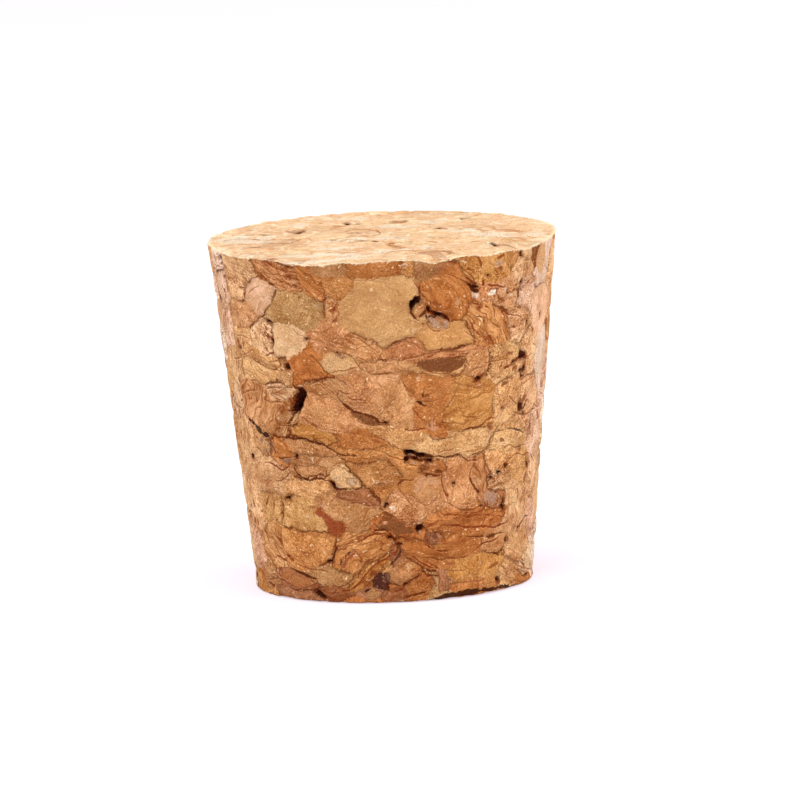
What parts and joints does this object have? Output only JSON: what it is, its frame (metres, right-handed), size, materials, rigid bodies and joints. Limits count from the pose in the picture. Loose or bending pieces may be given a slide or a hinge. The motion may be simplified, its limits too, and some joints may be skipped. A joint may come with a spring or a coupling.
{
  "type": "cork stopper",
  "caption": "Tapered stopper of agglomerated cork that plugs a round neck; small end down, granules, seams and voids open on its faces.",
  "frame": {"origin": "centre of the small end, on the surface that the stopper stands on", "axes": "+Z along the stopper's axis, from the small end to the large one; -Y is the side with the bark pebble, the front"},
  "size_m": [0.019, 0.019, 0.019],
  "materials": {
    "agglomerated_cork": "ground agglomerated cork, matt, with open seams and voids"
  },
  "bodies": {
    "root": {"stopper": "agglomerated_cork"}
  },
  "joints": []
}
